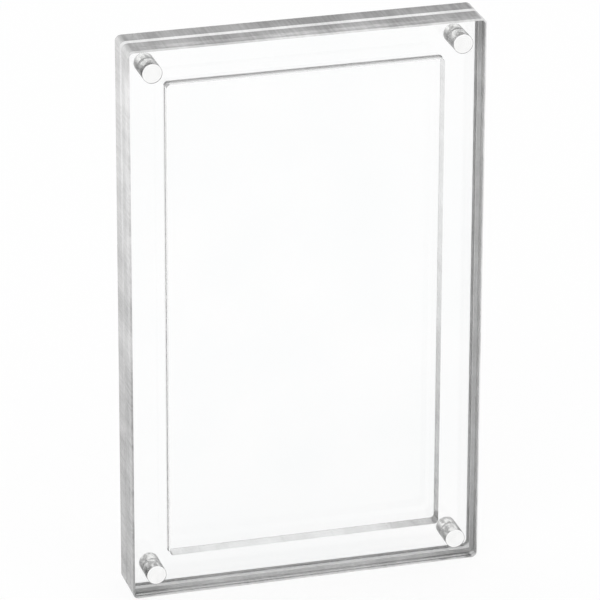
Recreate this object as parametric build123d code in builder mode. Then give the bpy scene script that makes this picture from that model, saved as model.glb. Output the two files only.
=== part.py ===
from build123d import *
import os

# Clear acrylic display case for one booster pack, in millimetres. It stands on its
# lower edge: +Z is up, the front faces -Y, and the origin is on the table under the
# middle of the case. Left and right are as seen from the front.

# Pocket that the pack lies in, and the acrylic left round it
pocket_width = 70.0
pocket_height = 125.0
pocket_corner_radius = 0.5
rim_width = 10.0

# The three sheets, from front to back
window_thickness = 3.0
frame_thickness = 4.0
back_thickness = 6.0
corner_radius = 1.5
edge_chamfer = 0.4  # polished bevel round the front and rear faces
closing_chamfer = 0.8  # wider bevel round the outside where the halves meet
pocket_chamfer = 0.5  # bevel round the mouth of the pocket
bond_chamfer = 0.15  # broken edge on both sides of the bond line

# Magnets, one pair at each corner
magnet_diameter = 5.0
magnet_chamfer = 0.25
magnet_inset = 6.0  # from the magnet's axis to both outer edges of its corner
magnet_clearance = 0.05  # glue film between a magnet and its hole
magnet_recess = 0.1  # how far a magnet's outer end lies below the face of the case
magnet_proud = 0.05  # how far its inner end stands out, so that magnet meets magnet

case_width = pocket_width + 2 * rim_width
case_height = pocket_height + 2 * rim_width
closing_gap = 2 * magnet_proud
case_depth = window_thickness + frame_thickness + closing_gap + back_thickness

# Where the sheets' faces lie along Y
front_y = -case_depth / 2
bond_y = front_y + window_thickness
cover_closing_y = bond_y + frame_thickness
base_closing_y = cover_closing_y + closing_gap
rear_y = base_closing_y + back_thickness

middle = (0, case_height / 2)
magnet_spacing_x = case_width - 2 * magnet_inset
magnet_spacing_z = case_height - 2 * magnet_inset
magnet_hole_radius = magnet_diameter / 2 + magnet_clearance

os.makedirs("parts", exist_ok=True)


def face_at(sheet, y):
    """The sheet's flat face at y."""
    return sheet.faces().filter_by(Axis.Y).filter_by_position(Axis.Y, y - 0.01, y + 0.01)[0]


def outer_edges(sheet, y):
    """Edges of the sheet's outline on its face at y."""
    return face_at(sheet, y).outer_wire().edges()


def pocket_edges(sheet, y):
    """Edges of the pocket, the largest opening in the sheet's face at y."""
    return face_at(sheet, y).inner_wires().sort_by(SortBy.LENGTH)[-1].edges()


# Front window: the plain sheet that the pack is seen through
with BuildPart() as front_window:
    with BuildSketch(Plane.XZ.offset(-bond_y)):
        with Locations(middle):
            RectangleRounded(case_width, case_height, corner_radius)
            with GridLocations(magnet_spacing_x, magnet_spacing_z, 2, 2):
                Circle(magnet_hole_radius, mode=Mode.SUBTRACT)
    extrude(amount=window_thickness)
    chamfer(outer_edges(front_window, front_y), length=edge_chamfer)
    chamfer(outer_edges(front_window, bond_y), length=bond_chamfer)
front_window.part.label = "front_window"
export_step(front_window.part, "parts/front_window.step")

# Pocket frame: bonded behind the window, its opening is the pocket's wall
with BuildPart() as pocket_frame:
    with BuildSketch(Plane.XZ.offset(-cover_closing_y)):
        with Locations(middle):
            RectangleRounded(case_width, case_height, corner_radius)
            RectangleRounded(pocket_width, pocket_height, pocket_corner_radius, mode=Mode.SUBTRACT)
            with GridLocations(magnet_spacing_x, magnet_spacing_z, 2, 2):
                Circle(magnet_hole_radius, mode=Mode.SUBTRACT)
    extrude(amount=frame_thickness)
    chamfer(outer_edges(pocket_frame, bond_y), length=bond_chamfer)
    chamfer(outer_edges(pocket_frame, cover_closing_y), length=closing_chamfer)
    chamfer(pocket_edges(pocket_frame, cover_closing_y), length=pocket_chamfer)
pocket_frame.part.label = "pocket_frame"
export_step(pocket_frame.part, "parts/pocket_frame.step")

# Back plate: closes the pocket from behind
with BuildPart() as back_plate:
    with BuildSketch(Plane.XZ.offset(-rear_y)):
        with Locations(middle):
            RectangleRounded(case_width, case_height, corner_radius)
            with GridLocations(magnet_spacing_x, magnet_spacing_z, 2, 2):
                Circle(magnet_hole_radius, mode=Mode.SUBTRACT)
    extrude(amount=back_thickness)
    chamfer(outer_edges(back_plate, base_closing_y), length=closing_chamfer)
    chamfer(outer_edges(back_plate, rear_y), length=edge_chamfer)
back_plate.part.label = "back_plate"
export_step(back_plate.part, "parts/back_plate.step")

# Magnets: in each corner the front one meets the back one in the closing gap
front_magnet_ends = (front_y + magnet_recess, cover_closing_y + magnet_proud)
back_magnet_ends = (base_closing_y - magnet_proud, rear_y - magnet_recess)
corners = {
    "top_left": (-magnet_spacing_x / 2, case_height - magnet_inset),
    "top_right": (magnet_spacing_x / 2, case_height - magnet_inset),
    "bottom_left": (-magnet_spacing_x / 2, magnet_inset),
    "bottom_right": (magnet_spacing_x / 2, magnet_inset),
}
for half, (near_y, far_y) in {"front": front_magnet_ends, "back": back_magnet_ends}.items():
    for corner, spot in corners.items():
        with BuildPart() as magnet:
            with BuildSketch(Plane.XZ.offset(-far_y)):
                with Locations(spot):
                    Circle(magnet_diameter / 2)
            extrude(amount=far_y - near_y)
            chamfer(magnet.edges().filter_by(GeomType.CIRCLE), length=magnet_chamfer)
        magnet.part.label = f"{half}_magnet_{corner}"
        export_step(magnet.part, f"parts/{magnet.part.label}.step")
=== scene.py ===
import math

import bmesh
import bpy
from mathutils import Matrix, Vector


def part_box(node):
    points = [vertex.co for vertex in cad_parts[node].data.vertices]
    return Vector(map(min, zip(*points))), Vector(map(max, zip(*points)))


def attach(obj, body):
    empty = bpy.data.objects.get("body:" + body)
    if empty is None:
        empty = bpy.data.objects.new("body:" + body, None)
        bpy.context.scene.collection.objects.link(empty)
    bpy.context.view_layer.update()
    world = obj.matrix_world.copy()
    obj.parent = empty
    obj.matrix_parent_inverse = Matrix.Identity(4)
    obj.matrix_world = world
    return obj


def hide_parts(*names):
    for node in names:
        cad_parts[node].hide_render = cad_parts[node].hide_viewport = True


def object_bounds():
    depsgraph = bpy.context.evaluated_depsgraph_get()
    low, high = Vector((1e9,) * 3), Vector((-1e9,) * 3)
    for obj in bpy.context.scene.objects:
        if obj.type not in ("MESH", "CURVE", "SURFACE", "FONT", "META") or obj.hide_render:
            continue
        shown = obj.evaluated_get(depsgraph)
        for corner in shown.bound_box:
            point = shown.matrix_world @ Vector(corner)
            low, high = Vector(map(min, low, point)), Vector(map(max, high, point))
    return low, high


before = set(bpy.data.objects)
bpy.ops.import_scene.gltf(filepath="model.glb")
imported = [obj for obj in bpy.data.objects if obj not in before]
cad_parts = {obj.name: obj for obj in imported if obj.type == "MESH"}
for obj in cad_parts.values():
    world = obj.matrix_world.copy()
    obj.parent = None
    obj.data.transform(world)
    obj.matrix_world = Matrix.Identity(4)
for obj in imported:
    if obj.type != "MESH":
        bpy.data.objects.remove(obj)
cadLow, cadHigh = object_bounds()

# All sizes are metres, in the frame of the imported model: +Z up, the window faces -Y.
mm = 0.001
touch = 0.01 * mm  # places nearer to each other than this count as the same
caseWidth = cadHigh.x - cadLow.x
caseHeight = cadHigh.z - cadLow.z
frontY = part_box("front_window")[0].y
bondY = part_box("front_window")[1].y
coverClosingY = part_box("pocket_frame")[1].y
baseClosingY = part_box("back_plate")[0].y
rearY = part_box("back_plate")[1].y
corners = ("top_left", "top_right", "bottom_left", "bottom_right")


# Small helpers for selecting and shaping

def selectOnly(piece):
    bpy.ops.object.select_all(action="DESELECT")
    piece.select_set(True)
    bpy.context.view_layer.objects.active = piece


def startEdit(piece, mode="EDGE"):
    selectOnly(piece)
    bpy.ops.object.mode_set(mode="EDIT")
    bpy.ops.mesh.select_mode(type=mode)
    bpy.ops.mesh.select_all(action="DESELECT")


def endEdit():
    bpy.ops.object.mode_set(mode="OBJECT")


def pickEdges(piece, wanted):
    mesh = bmesh.from_edit_mesh(piece.data)
    for edge in mesh.edges:
        edge.select_set(wanted(edge.verts[0].co, edge.verts[1].co))
    bmesh.update_edit_mesh(piece.data)


def pickFaces(piece, wanted):
    mesh = bmesh.from_edit_mesh(piece.data)
    mesh.normal_update()
    for face in mesh.faces:
        face.select_set(wanted(face.calc_center_median(), face.normal))
    bmesh.update_edit_mesh(piece.data)


def near(a, b):
    return abs(a - b) < touch


def runsThrough(a, b):
    return abs(a.y - b.y) > mm  # an edge from the front to the rear


def placeMesh():
    bpy.ops.object.transform_apply(location=True, rotation=True, scale=True)


# A box round the middle of the case, whose four edges from front to rear are rounded
def addBox(nearY, farY, width, height, radius, steps):
    bpy.ops.object.select_all(action="DESELECT")
    bpy.ops.mesh.primitive_cube_add(
        size=1,
        location=(0, (nearY + farY) / 2, caseHeight / 2),
        scale=(width, farY - nearY, height),
    )
    box = bpy.context.object
    placeMesh()
    startEdit(box)
    pickEdges(box, runsThrough)
    bpy.ops.mesh.bevel(offset=radius, segments=steps, affect="EDGES")
    endEdit()
    return box


# A round bar that lies from front to rear
def addBar(middle, radius, length, sides):
    bpy.ops.object.select_all(action="DESELECT")
    bpy.ops.mesh.primitive_cylinder_add(
        vertices=sides, radius=radius, depth=length, location=middle, rotation=(math.pi / 2, 0, 0))
    return bpy.context.object


def sliceAt(y):
    bpy.ops.mesh.select_all(action="SELECT")
    bpy.ops.mesh.bisect(plane_co=(0, y, 0), plane_no=(0, 1, 0))


def cutAway(piece, cutter):
    selectOnly(piece)
    bpy.ops.object.modifier_add(type="BOOLEAN")
    cut = piece.modifiers[-1]
    cut.operation = "DIFFERENCE"
    cut.solver = "EXACT"
    cut.object = cutter
    bpy.ops.object.modifier_apply(modifier=cut.name)
    bpy.data.objects.remove(cutter)


# Acrylic sheets

sheetLook = {
    "cornerRadius": 1.5 * mm,
    "cornerSteps": 16,
    "faceBevel": 0.4 * mm,  # polished bevel round the front and rear faces
    "closingBevel": 0.8 * mm,  # wider bevel round the outside where the halves meet
    "bondGroove": 0.15 * mm,  # broken edge along the bond line
    "rim": 10.0 * mm,  # acrylic left round the pocket
    "pocketRadius": 1.0 * mm,
    "pocketSteps": 8,
    "pocketBevel": 0.2 * mm,
    "pocketRim": 2.4 * mm,  # how far in from the mouth the pocket's upper wall is dull
    "holeGlue": 0.01 * mm,  # glue fills the hole, so the acrylic reaches just into the magnet
    "holeSides": 96,
    "smoothAngle": 30,  # degrees
}
pocketX = caseWidth / 2 - sheetLook["rim"]
pocketLow = sheetLook["rim"]
pocketHigh = caseHeight - sheetLook["rim"]


# A sheet with rounded corners and bevelled rims
def makeSlab(name, nearY, nearBevel, farY, farBevel):
    slab = addBox(nearY, farY, caseWidth, caseHeight,
                  sheetLook["cornerRadius"], sheetLook["cornerSteps"])
    slab.name = slab.data.name = name
    startEdit(slab)
    for rimY, bevel in ((nearY, nearBevel), (farY, farBevel)):
        pickEdges(slab, lambda a, b: near(a.y, rimY) and near(b.y, rimY))
        bpy.ops.mesh.bevel(offset=bevel, segments=1, affect="EDGES")
    endEdit()
    return slab


# The fine groove round the edge where two sheets are bonded
def scoreBondLine(slab):
    groove = sheetLook["bondGroove"]
    startEdit(slab)
    for y in (bondY - groove, bondY + groove, bondY):
        sliceAt(y)
    pickEdges(slab, lambda a, b: near(a.y, bondY) and near(b.y, bondY))
    bpy.ops.transform.shrink_fatten(value=-groove)
    endEdit()


def drillHoles(slab, half):
    for corner in corners:
        low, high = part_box(half + "_magnet_" + corner)
        radius = (high.x - low.x) / 2 - sheetLook["holeGlue"]
        length = 2 * (high.y - low.y)
        cutAway(slab, addBar((low + high) / 2, radius, length, sheetLook["holeSides"]))


def inPocket(spot, gap=touch):
    return abs(spot.x) < pocketX + gap and pocketLow - gap < spot.z < pocketHigh + gap


def onMouth(spot):
    return near(spot.y, coverClosingY) and inPocket(spot)


def cutPocket(slab):
    beyondY = 2 * coverClosingY - bondY  # the cutter stands out behind the sheet
    cutter = addBox(bondY, beyondY, 2 * pocketX, pocketHigh - pocketLow,
                    sheetLook["pocketRadius"], sheetLook["pocketSteps"])
    cutAway(slab, cutter)
    startEdit(slab)
    pickEdges(slab, lambda a, b: onMouth(a) and onMouth(b))
    bpy.ops.mesh.bevel(offset=sheetLook["pocketBevel"], segments=1, affect="EDGES")
    sliceAt(coverClosingY - sheetLook["pocketRim"])
    endEdit()


# A surface is told by where it lies and by how far its normal leans to a side, from 0 to 1
surfaceSigns = {
    "skin": 1.2 * mm,  # outer edges and bevels lie this near to the outline
    "broadLean": 0.9,  # along Y
    "bevelLean": 0.2,  # along Y
    "sawnLean": 0.6,  # to the left
    "wallLean": 0.1,  # to a side of the pocket
    "dullLean": 0.3,  # downwards
    "cornerLean": 0.15,  # to two sides at once
}


def isEdge(spot, normal):
    skin = surfaceSigns["skin"]
    return abs(spot.x) > caseWidth / 2 - skin or not skin < spot.z < caseHeight - skin


def isSawn(spot, normal):
    return isEdge(spot, normal) and normal.x < -surfaceSigns["sawnLean"]


def isBevel(spot, normal):
    return isEdge(spot, normal) and abs(normal.y) > surfaceSigns["bevelLean"]


def isClosingBevel(spot, normal):
    bevel = sheetLook["closingBevel"]
    return isBevel(spot, normal) and coverClosingY - bevel < spot.y < baseClosingY + bevel


def isFaceBevel(spot, normal):
    bevel = sheetLook["faceBevel"]
    return isBevel(spot, normal) and not frontY + bevel < spot.y < rearY - bevel


def isClearWall(spot, normal):
    lean = surfaceSigns["wallLean"]
    return inPocket(spot, mm) and (normal.x > lean or normal.z < -lean)


def isWall(spot, normal):
    lean = surfaceSigns["wallLean"]
    return inPocket(spot, mm) and (normal.x < -lean or normal.z > lean)


def isRim(spot, normal):
    rimY = coverClosingY - sheetLook["pocketRim"]
    isUpper = spot.y > rimY and normal.z < -surfaceSigns["dullLean"]
    isCorner = min(abs(normal.x), abs(normal.z)) > surfaceSigns["cornerLean"]
    return inPocket(spot, mm) and (isUpper or isCorner)


# Each kind of surface and how to tell it: a later kind takes over from an earlier one
outerKinds = {
    "edge": isEdge,
    "sawn": isSawn,
    "closing": isClosingBevel,
    "face": isFaceBevel,
}
pocketKinds = {
    "clearWall": isClearWall,  # the left and upper walls
    "wall": isWall,  # the right and lower walls
    "rim": isRim,  # the upper wall by the mouth, and the corners
}


# The broad faces and the holes stay clear, and every other surface gets its kind's finish
def finishSheet(slab, clearAcrylic, workedAcrylic, kinds):
    slab.data.materials.append(clearAcrylic)
    for slot, (kind, isKind) in enumerate(kinds.items(), start=1):
        slab.data.materials.append(workedAcrylic[kind])
        startEdit(slab, "FACE")
        pickFaces(slab, lambda spot, normal: (
            abs(normal.y) < surfaceSigns["broadLean"] and isKind(spot, normal)))
        slab.active_material_index = slot
        bpy.ops.object.material_slot_assign()
        endEdit()
    selectOnly(slab)
    bpy.ops.object.shade_smooth_by_angle(angle=math.radians(sheetLook["smoothAngle"]))
    bpy.ops.object.modifier_add(type="WEIGHTED_NORMAL")  # keeps the flat faces flat beside a round
    slab.modifiers[-1].keep_sharp = True
    bpy.ops.object.modifier_apply(modifier=slab.modifiers[-1].name)


# Magnets

magnetLook = {
    "edgeRound": 0.08 * mm,
    "edgeSteps": 4,
    "sides": 96,
    "smoothAngle": 40,  # degrees
    "sideLean": 0.5,  # the side's normal leans along Y by less than this
}


# The four magnets of one half: the first is modelled, the others are its copies
def makeMagnets(half, body, nickel, gluedNickelWithShade):
    low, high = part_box(half + "_magnet_top_left")
    first = (low + high) / 2
    magnet = addBar(first, (high.x - low.x) / 2, high.y - low.y, magnetLook["sides"])
    placeMesh()
    startEdit(magnet)
    pickEdges(magnet, lambda a, b: near(a.y, b.y))
    bpy.ops.mesh.bevel(
        offset=magnetLook["edgeRound"], segments=magnetLook["edgeSteps"], affect="EDGES")
    endEdit()
    selectOnly(magnet)
    bpy.ops.object.shade_smooth_by_angle(angle=math.radians(magnetLook["smoothAngle"]))
    magnet.data.materials.append(nickel)
    magnet.data.materials.append(gluedNickelWithShade)
    startEdit(magnet, "FACE")
    pickFaces(magnet, lambda spot, normal: abs(normal.y) < magnetLook["sideLean"])
    magnet.active_material_index = 1
    bpy.ops.object.material_slot_assign()
    endEdit()
    for corner in corners:
        node = half + "_magnet_" + corner
        low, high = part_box(node)
        selectOnly(magnet)
        bpy.ops.object.duplicate()
        copy = bpy.context.object
        copy.name = copy.data.name = "nickel_" + node
        bpy.ops.transform.translate(value=(low + high) / 2 - first)
        placeMesh()
        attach(copy, body)
        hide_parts(node)
    bpy.data.objects.remove(magnet)


# Helpers for materials

def newMaterial(name):
    material = bpy.data.materials.new(name)
    material.use_nodes = True
    return material.node_tree, material.node_tree.nodes["Principled BSDF"], material


# Maps a value to a range, and holds it there at both ends
def addRange(tree, value, fromLow, fromHigh, toLow=0.0, toHigh=1.0):
    spread = tree.nodes.new("ShaderNodeMapRange")
    spread.inputs["From Min"].default_value = fromLow
    spread.inputs["From Max"].default_value = fromHigh
    spread.inputs["To Min"].default_value = toLow
    spread.inputs["To Max"].default_value = toHigh
    tree.links.new(value, spread.inputs["Value"])
    return spread.outputs["Result"]


# Each of the two is a number or a socket, and the result stays between 0 and 1
def addMath(tree, operation, first, second):
    node = tree.nodes.new("ShaderNodeMath")
    node.operation = operation
    node.use_clamp = True
    for value, socket in zip((first, second), node.inputs):
        if isinstance(value, float):
            socket.default_value = value
        else:
            tree.links.new(value, socket)
    return node.outputs[0]


def addInverse(tree, value):
    return addMath(tree, "SUBTRACT", 1.0, value)


# Sum of values, each times its share
def addShares(tree, *parts):
    total = 0.0
    for value, share in parts:
        total = addMath(tree, "ADD", total, addMath(tree, "MULTIPLY", value, share))
    return total


# The place on the piece, as sockets for X, Y and Z
def addSpot(tree):
    place = tree.nodes.new("ShaderNodeTexCoord")
    split = tree.nodes.new("ShaderNodeSeparateXYZ")
    tree.links.new(place.outputs["Object"], split.inputs[0])
    return split.outputs


# Noise with a grain for each axis, in spots per metre: cut is the part that is used, span its result
def addNoise(tree, grain, detail, cut=(0.3, 0.7), span=(0.0, 1.0)):
    place = tree.nodes.new("ShaderNodeTexCoord")
    stretch = tree.nodes.new("ShaderNodeMapping")
    stretch.inputs["Scale"].default_value = grain
    noise = tree.nodes.new("ShaderNodeTexNoise")
    noise.inputs["Scale"].default_value = 1.0
    noise.inputs["Detail"].default_value = detail
    tree.links.new(place.outputs["Object"], stretch.inputs["Vector"])
    tree.links.new(stretch.outputs["Vector"], noise.inputs["Vector"])
    return addRange(tree, noise.outputs["Fac"], *cut, *span)


def addTones(tree, shader, tone, dark, light):
    mix = tree.nodes.new("ShaderNodeMix")
    mix.data_type = "RGBA"
    mix.inputs["A"].default_value = (*dark, 1)
    mix.inputs["B"].default_value = (*light, 1)
    tree.links.new(tone, mix.inputs["Factor"])
    tree.links.new(mix.outputs["Result"], shader.inputs["Base Color"])


def addBump(tree, shader, height, strength, distance):
    bump = tree.nodes.new("ShaderNodeBump")
    bump.inputs["Strength"].default_value = strength
    bump.inputs["Distance"].default_value = distance
    tree.links.new(height, bump.inputs["Height"])
    tree.links.new(bump.outputs["Normal"], shader.inputs["Normal"])


# Acrylic finishes

acrylicIor = 1.49  # how strongly acrylic bends light

paneLook = {
    "tones": ((0.985, 0.99, 0.99), (1.0, 1.0, 1.0)),
    "hazeGrain": (45, 45, 45),
    "scratchGrain": (2600, 900, 90),
    "scratchCut": (0.66, 0.74),
    "scratchRoughness": (0.0, 0.035),
}

# Each kind of worked surface: the share of the light that passes it, how strongly it bends that
# light, and its darkest and lightest tone, between which marks and painted light and shade set it
workedLook = {
    "edge": {"clear": 0.35, "ior": acrylicIor, "tones": (0.1, 0.95)},  # polished
    "sawn": {"clear": 0.25, "ior": acrylicIor, "tones": (0.12, 0.98)},  # left edge, as the saw left it
    "closing": {"clear": 0.12, "ior": acrylicIor, "tones": (0.32, 0.9)},  # scraped, so it is frosted
    "face": {"clear": 0.12, "ior": acrylicIor, "tones": (0.17, 0.95)},
    "clearWall": {"clear": 0.8, "ior": acrylicIor, "tones": (0.9, 0.98)},
    "wall": {"clear": 0.85, "ior": 1.05, "tones": (0.1, 1.0)},  # light slips through almost unbent
    "rim": {"clear": 0.2, "ior": acrylicIor, "tones": (0.5, 0.9)},
}

# A worked surface's tone comes from fine marks, soft patches and the painted light and shade at each
# place
toneLook = {
    "marksGrain": (1400, 60, 1400),
    "marksShare": 0.16,
    "marksStrength": 0.25,
    "marksDepth": 0.01 * mm,
    "patchGrain": (110, 60, 110),
    "patchCut": (0.36, 0.64),
    "patchShare": 0.24,
    "roughGrain": (300, 40, 300),
    "roughness": (0.08, 0.2),
    "paintedLightFrom": 25 * mm,  # painted light: the left side and the pocket's right wall grow paler from here up
    "paintedLightTo": 130 * mm,
    "leftPaintedLight": 0.7,  # painted light on each side of the outer edges, from 0 to 1
    "rightPaintedLight": 0.9,
    "topPaintedLight": 0.1,
    "bottomPaintedLight": 0.3,
    "frontPaintedLight": 0.6,  # painted light on the bevels of the front and rear faces, away from the left side
    "rearPaintedLight": 0.9,
    "slantPaintedLight": 0.12,  # painted light: how much paler the left end of the edges is than the right end
    "wallShadeRise": 1.4,  # how much sooner the painted shade on the pocket's right wall lifts than on the outer edges
    "sideFade": 0.8 * mm,  # one side's painted light turns into the next one's over this length
    "bottomFull": 0.5 * mm,  # the lower edge's painted light is full from here down
    "pocketFade": 0.2 * mm,
}


# Painted light on the outer edges and bevels, lighter on some sides than on others: on the left side
# it fades downwards into painted shade
def addOuterPaintedLight(tree, kind):
    spot = addSpot(tree)
    fade = toneLook["sideFade"]
    sideX = caseWidth / 2 - sheetLook["cornerRadius"]
    topZ = caseHeight - sheetLook["cornerRadius"]
    rise = addRange(tree, spot["Z"], toneLook["paintedLightFrom"], toneLook["paintedLightTo"])
    left = addRange(tree, spot["X"], -sideX, -sideX - fade)
    if kind == "closing":
        return addInverse(tree, addMath(tree, "MULTIPLY", addInverse(tree, rise), left))
    highLeft = addMath(tree, "MULTIPLY", rise, left)
    if kind == "face":
        elsewhere = addInverse(tree, left)
        depth = addRange(tree, spot["Y"], 0.0, mm, toneLook["frontPaintedLight"], toneLook["rearPaintedLight"])
        return addShares(tree, (elsewhere, depth), (highLeft, toneLook["leftPaintedLight"]))
    right = addRange(tree, spot["X"], sideX, sideX + fade)
    top = addRange(tree, spot["Z"], topZ, topZ + fade)
    bottom = addRange(tree, spot["Z"], sheetLook["cornerRadius"], toneLook["bottomFull"])
    slant = addRange(tree, spot["X"], caseWidth / 2, -caseWidth / 2)
    return addShares(
        tree,
        (highLeft, toneLook["leftPaintedLight"]),
        (right, toneLook["rightPaintedLight"]),
        (top, toneLook["topPaintedLight"]),
        (bottom, toneLook["bottomPaintedLight"]),
        (slant, toneLook["slantPaintedLight"]),
    )


# Painted shade in the pocket: the right wall darkens downwards, and the lower one to the right
def addWallPaintedShade(tree):
    spot = addSpot(tree)
    rise = addRange(tree, spot["Z"], toneLook["paintedLightFrom"], toneLook["paintedLightTo"])
    low = addInverse(tree, addMath(tree, "MULTIPLY", rise, toneLook["wallShadeRise"]))
    rightward = addRange(tree, spot["X"], pocketX / 2, pocketX)
    return addInverse(tree, addMath(tree, "MULTIPLY", low, rightward))


# Painted shade in the pocket's left and right corners, on its dull surfaces
def addRimPaintedShade(tree):
    spot = addSpot(tree)
    fade = toneLook["pocketFade"]
    cornerX = pocketX - sheetLook["pocketRadius"]
    leftEnd = addRange(tree, spot["X"], -cornerX, -cornerX - fade)
    rightEnd = addRange(tree, spot["X"], cornerX, cornerX + fade)
    return addInverse(tree, addMath(tree, "ADD", leftEnd, rightEnd))


# Cast and polished face: quite clear, with a faint haze and hairline scratches
def makeClearAcrylic():
    tree, shader, material = newMaterial("clear acrylic face")
    shader.inputs["Transmission Weight"].default_value = 1.0
    shader.inputs["IOR"].default_value = acrylicIor
    haze = addNoise(tree, paneLook["hazeGrain"], detail=3)
    scratches = addNoise(tree, paneLook["scratchGrain"], detail=2,
                         cut=paneLook["scratchCut"], span=paneLook["scratchRoughness"])
    addTones(tree, shader, haze, *paneLook["tones"])
    tree.links.new(scratches, shader.inputs["Roughness"])
    return material


# Worked surface: fine marks across the sheet, soft patches, and painted light and shade that change
# its tone along it
def makeWorkedAcrylic(kind):
    look = workedLook[kind]
    tree, shader, material = newMaterial("acrylic " + kind)
    shader.inputs["Transmission Weight"].default_value = look["clear"]
    shader.inputs["IOR"].default_value = look["ior"]
    marks = addNoise(tree, toneLook["marksGrain"], detail=3)
    patches = addNoise(tree, toneLook["patchGrain"], detail=4, cut=toneLook["patchCut"])
    # Most of the tone is painted light and shade, picked here for the kind of surface
    if kind in outerKinds:
        paintedLightAndShade = addOuterPaintedLight(tree, kind)
    elif kind == "rim":
        paintedLightAndShade = addRimPaintedShade(tree)
    else:
        paintedLightAndShade = addWallPaintedShade(tree)
    tone = addShares(
        tree,
        (marks, toneLook["marksShare"]),
        (patches, toneLook["patchShare"]),
        (paintedLightAndShade, 1 - toneLook["marksShare"] - toneLook["patchShare"]),
    )
    dark, light = look["tones"]
    roughness = addNoise(tree, toneLook["roughGrain"], detail=2, span=toneLook["roughness"])
    addTones(tree, shader, tone, (dark, dark, dark), (light, light, light))
    tree.links.new(roughness, shader.inputs["Roughness"])
    addBump(tree, shader, marks, toneLook["marksStrength"], toneLook["marksDepth"])
    return material


# Nickel finishes

nickelLook = {
    "tones": ((0.88, 0.88, 0.875), (1.0, 1.0, 0.995)),
    "mottlingGrain": (700, 700, 700),
    "mottlingShare": 0.5,
    "mottlingDepth": 0.02 * mm,
    "ringPitch": 0.5 * mm,  # turned rings on the ends
    "ringShare": 0.5,
    "roughGrain": (1500, 1500, 1500),
    "roughness": (0.08, 0.2),
    "bumpStrength": 0.3,
}

# Glue blotches on the magnets' sides, and painted shade across each side and by the gap
glueAndShadeLook = {
    "tones": ((0.16, 0.16, 0.16), (0.95, 0.95, 0.94)),
    "shadeAxis": (0.84, 0, 0.54),  # painted shade across each magnet's side is laid out along this direction
    "bandShadeCut": (-0.75, -0.25),  # painted shade in a dark band on the side turned away from it
    "streakShadeCut": (0.95, 0.74),  # and a painted dark streak where the side faces it most
    "blotchGrain": (700, 260, 700),
    "blotchCut": (0.4, 0.54),
    "blotchSpan": (0.3, 1.0),
    "blotchDepth": 0.03 * mm,
    "seamShadeNear": 0.3 * mm,  # painted shade: the dark band by the closing gap between the magnets fades out from here to the next length
    "seamShadeFar": 0.9 * mm,
    "seamShadeTone": 0.3,
    "roughness": (0.2, 0.4),
}


# Rings round the axis of the nearest magnet
def addRings(tree):
    low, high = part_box("front_magnet_top_right")
    axis = (low + high) / 2
    value = tree.nodes.new("ShaderNodeTexCoord").outputs["Object"]
    steps = (
        ("SUBTRACT", (0, 0, caseHeight / 2)),
        ("ABSOLUTE", None),
        ("SUBTRACT", (axis.x, 0, axis.z - caseHeight / 2)),
        ("MULTIPLY", (1, 0, 1)),
        ("LENGTH", None),
    )
    for operation, other in steps:
        node = tree.nodes.new("ShaderNodeVectorMath")
        node.operation = operation
        tree.links.new(value, node.inputs[0])
        if other:
            node.inputs[1].default_value = other
        value = node.outputs["Value" if operation == "LENGTH" else "Vector"]
    turn = tree.nodes.new("ShaderNodeMath")
    turn.operation = "MULTIPLY"
    turn.inputs[1].default_value = 2 * math.pi / nickelLook["ringPitch"]
    tree.links.new(value, turn.inputs[0])
    wave = tree.nodes.new("ShaderNodeMath")
    wave.operation = "SINE"
    tree.links.new(turn.outputs[0], wave.inputs[0])
    return addRange(tree, wave.outputs[0], -1.0, 1.0)


# Bright nickel plate: fine mottling, faint rings and a slight unevenness of the plated surface
def makeNickel():
    tree, shader, material = newMaterial("bright nickel plate")
    shader.inputs["Metallic"].default_value = 1.0
    mottling = addNoise(tree, nickelLook["mottlingGrain"], detail=4)
    tone = addShares(
        tree,
        (mottling, nickelLook["mottlingShare"]),
        (addRings(tree), nickelLook["ringShare"]),
    )
    roughness = addNoise(tree, nickelLook["roughGrain"], detail=3, span=nickelLook["roughness"])
    addTones(tree, shader, tone, *nickelLook["tones"])
    tree.links.new(roughness, shader.inputs["Roughness"])
    addBump(tree, shader, mottling, nickelLook["bumpStrength"], nickelLook["mottlingDepth"])
    return material


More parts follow.
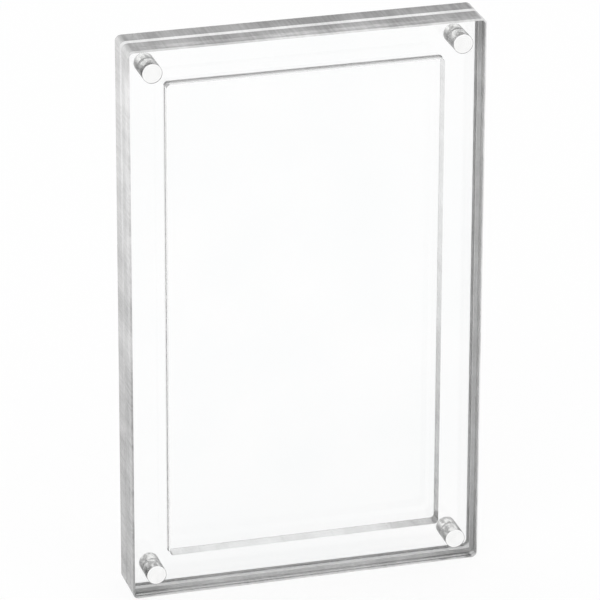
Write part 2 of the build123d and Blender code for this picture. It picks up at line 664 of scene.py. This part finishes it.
# Nickel plate behind glue, with blotches, and painted shade: a dark band on one side, a dark streak
# and a dark band by the gap
def makeGluedNickelWithShade():
    tree, shader, material = newMaterial("nickel plate behind glue with painted shade")
    shader.inputs["Metallic"].default_value = 1.0
    place = tree.nodes.new("ShaderNodeTexCoord")
    side = tree.nodes.new("ShaderNodeVectorMath")
    side.operation = "DOT_PRODUCT"
    side.inputs[1].default_value = glueAndShadeLook["shadeAxis"]
    tree.links.new(place.outputs["Normal"], side.inputs[0])
    # Painted shade: a dark band on the side turned away from the axis, and a dark streak where it
    # faces it most
    shadeBand = addRange(tree, side.outputs["Value"], *glueAndShadeLook["bandShadeCut"])
    shadeStreak = addRange(tree, side.outputs["Value"], *glueAndShadeLook["streakShadeCut"])
    blotches = addNoise(tree, glueAndShadeLook["blotchGrain"], detail=3,
                        cut=glueAndShadeLook["blotchCut"], span=glueAndShadeLook["blotchSpan"])
    y = addSpot(tree)["Y"]
    seamY = (coverClosingY + baseClosingY) / 2
    # Painted shade in a band on each magnet by the closing gap between the two halves
    inFront = addRange(
        tree, y, seamY - glueAndShadeLook["seamShadeNear"], seamY - glueAndShadeLook["seamShadeFar"], glueAndShadeLook["seamShadeTone"])
    behind = addRange(
        tree, y, seamY + glueAndShadeLook["seamShadeNear"], seamY + glueAndShadeLook["seamShadeFar"], glueAndShadeLook["seamShadeTone"])
    tone = addMath(tree, "MULTIPLY", shadeBand, shadeStreak)
    tone = addMath(tree, "MULTIPLY", tone, blotches)
    tone = addMath(tree, "MULTIPLY", tone, addMath(tree, "MAXIMUM", inFront, behind))
    roughness = addNoise(tree, nickelLook["roughGrain"], detail=3, span=glueAndShadeLook["roughness"])
    addTones(tree, shader, tone, *glueAndShadeLook["tones"])
    tree.links.new(roughness, shader.inputs["Roughness"])
    addBump(tree, shader, blotches, nickelLook["bumpStrength"], glueAndShadeLook["blotchDepth"])
    return material


# Studio

studioLook = {
    "floorSize": 6.0,
    "floorGap": 0.05 * mm,  # thin air under the case, so that its lower edge reflects from inside
    "floorDiffuse": (0.9, 0.9, 0.9, 1),
    "shadowShare": 0.11,
    "worldColor": (1, 1, 1, 1),
    "lampPower": 6,
    "lampSize": 1.2,
    "lampPlace": (-0.8, -1.2, 1.6),
}


# A white floor that glows, so that the case's shadow on it stays faint
def makeFloor():
    bpy.ops.object.select_all(action="DESELECT")
    bpy.ops.mesh.primitive_plane_add(
        size=studioLook["floorSize"], location=(0, 0, -studioLook["floorGap"]))
    floor = bpy.context.object
    floor.name = "studio_floor"
    material = bpy.data.materials.new("pale floor")
    material.use_nodes = True
    tree = material.node_tree
    tree.nodes.clear()
    out = tree.nodes.new("ShaderNodeOutputMaterial")
    lit = tree.nodes.new("ShaderNodeBsdfDiffuse")
    lit.inputs["Color"].default_value = studioLook["floorDiffuse"]
    glow = tree.nodes.new("ShaderNodeEmission")
    mix = tree.nodes.new("ShaderNodeMixShader")
    mix.inputs["Fac"].default_value = studioLook["shadowShare"]
    tree.links.new(glow.outputs[0], mix.inputs[1])
    tree.links.new(lit.outputs[0], mix.inputs[2])
    tree.links.new(mix.outputs[0], out.inputs["Surface"])
    floor.data.materials.append(material)


def makeWorld():
    world = bpy.data.worlds.new("studio")
    bpy.context.scene.world = world
    world.use_nodes = True
    world.node_tree.nodes["Background"].inputs["Color"].default_value = studioLook["worldColor"]


def makeLamp():
    lamp = bpy.data.lights.new("key", "AREA")
    lamp.energy = studioLook["lampPower"]
    lamp.size = studioLook["lampSize"]
    holder = bpy.data.objects.new("key", lamp)
    holder.location = studioLook["lampPlace"]
    bpy.context.collection.objects.link(holder)
    aim = Vector((0, 0, caseHeight / 2)) - holder.location
    holder.rotation_euler = aim.to_track_quat("-Z", "Y").to_euler()


# Camera

cameraLook = {
    "azimuth": -16.13,  # degrees round the case, 0 looks along +Y
    "elevation": 22.83,
    "roll": 0.19,
    "distance": 1.2154,
    "slideRight": -2.01 * mm,
    "slideUp": 3.216 * mm,
    "lens": 296.45,  # the lens and the sensor are in millimetres, as on a camera
    "sensor": 36,
}


def makeCamera():
    azimuth = math.radians(cameraLook["azimuth"])
    elevation = math.radians(cameraLook["elevation"])
    roll = math.radians(cameraLook["roll"])
    back = Vector((
        math.sin(azimuth) * math.cos(elevation),
        -math.cos(azimuth) * math.cos(elevation),
        math.sin(elevation)))
    level = Vector((0, 0, 1)).cross(back).normalized()
    upright = back.cross(level)
    right = math.cos(roll) * level + math.sin(roll) * upright
    up = math.cos(roll) * upright - math.sin(roll) * level
    target = Vector((0, frontY, caseHeight / 2))
    place = (target + back * cameraLook["distance"]
             + right * cameraLook["slideRight"] + up * cameraLook["slideUp"])
    camera = bpy.data.cameras.new("photo camera")
    camera.lens = cameraLook["lens"]
    camera.sensor_width = cameraLook["sensor"]
    holder = bpy.data.objects.new("photo camera", camera)
    bpy.context.collection.objects.link(holder)
    matrix = Matrix((right, up, back)).transposed().to_4x4()
    matrix.translation = place
    holder.matrix_world = matrix
    bpy.context.scene.camera = holder


makeCamera()
print("camera placed")

clearAcrylic = makeClearAcrylic()
workedAcrylic = {kind: makeWorkedAcrylic(kind) for kind in workedLook}
nickel = makeNickel()
gluedNickelWithShade = makeGluedNickelWithShade()
print("materials made")

faceBevel = sheetLook["faceBevel"]
closingBevel = sheetLook["closingBevel"]

cover = makeSlab("bonded_cover", frontY, faceBevel, coverClosingY, closingBevel)
scoreBondLine(cover)
cutPocket(cover)
drillHoles(cover, "front")
finishSheet(cover, clearAcrylic, workedAcrylic, {**outerKinds, **pocketKinds})
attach(cover, "cover")
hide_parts("front_window", "pocket_frame")
print("cover made")

base = makeSlab("clear_base", baseClosingY, closingBevel, rearY, faceBevel)
drillHoles(base, "back")
finishSheet(base, clearAcrylic, workedAcrylic, outerKinds)
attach(base, "base")
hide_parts("back_plate")
print("base made")

makeMagnets("front", "cover", nickel, gluedNickelWithShade)
makeMagnets("back", "base", nickel, gluedNickelWithShade)
print("magnets made")

makeFloor()
makeWorld()
makeLamp()
bpy.context.scene.view_settings.view_transform = "Standard"
print("studio made")
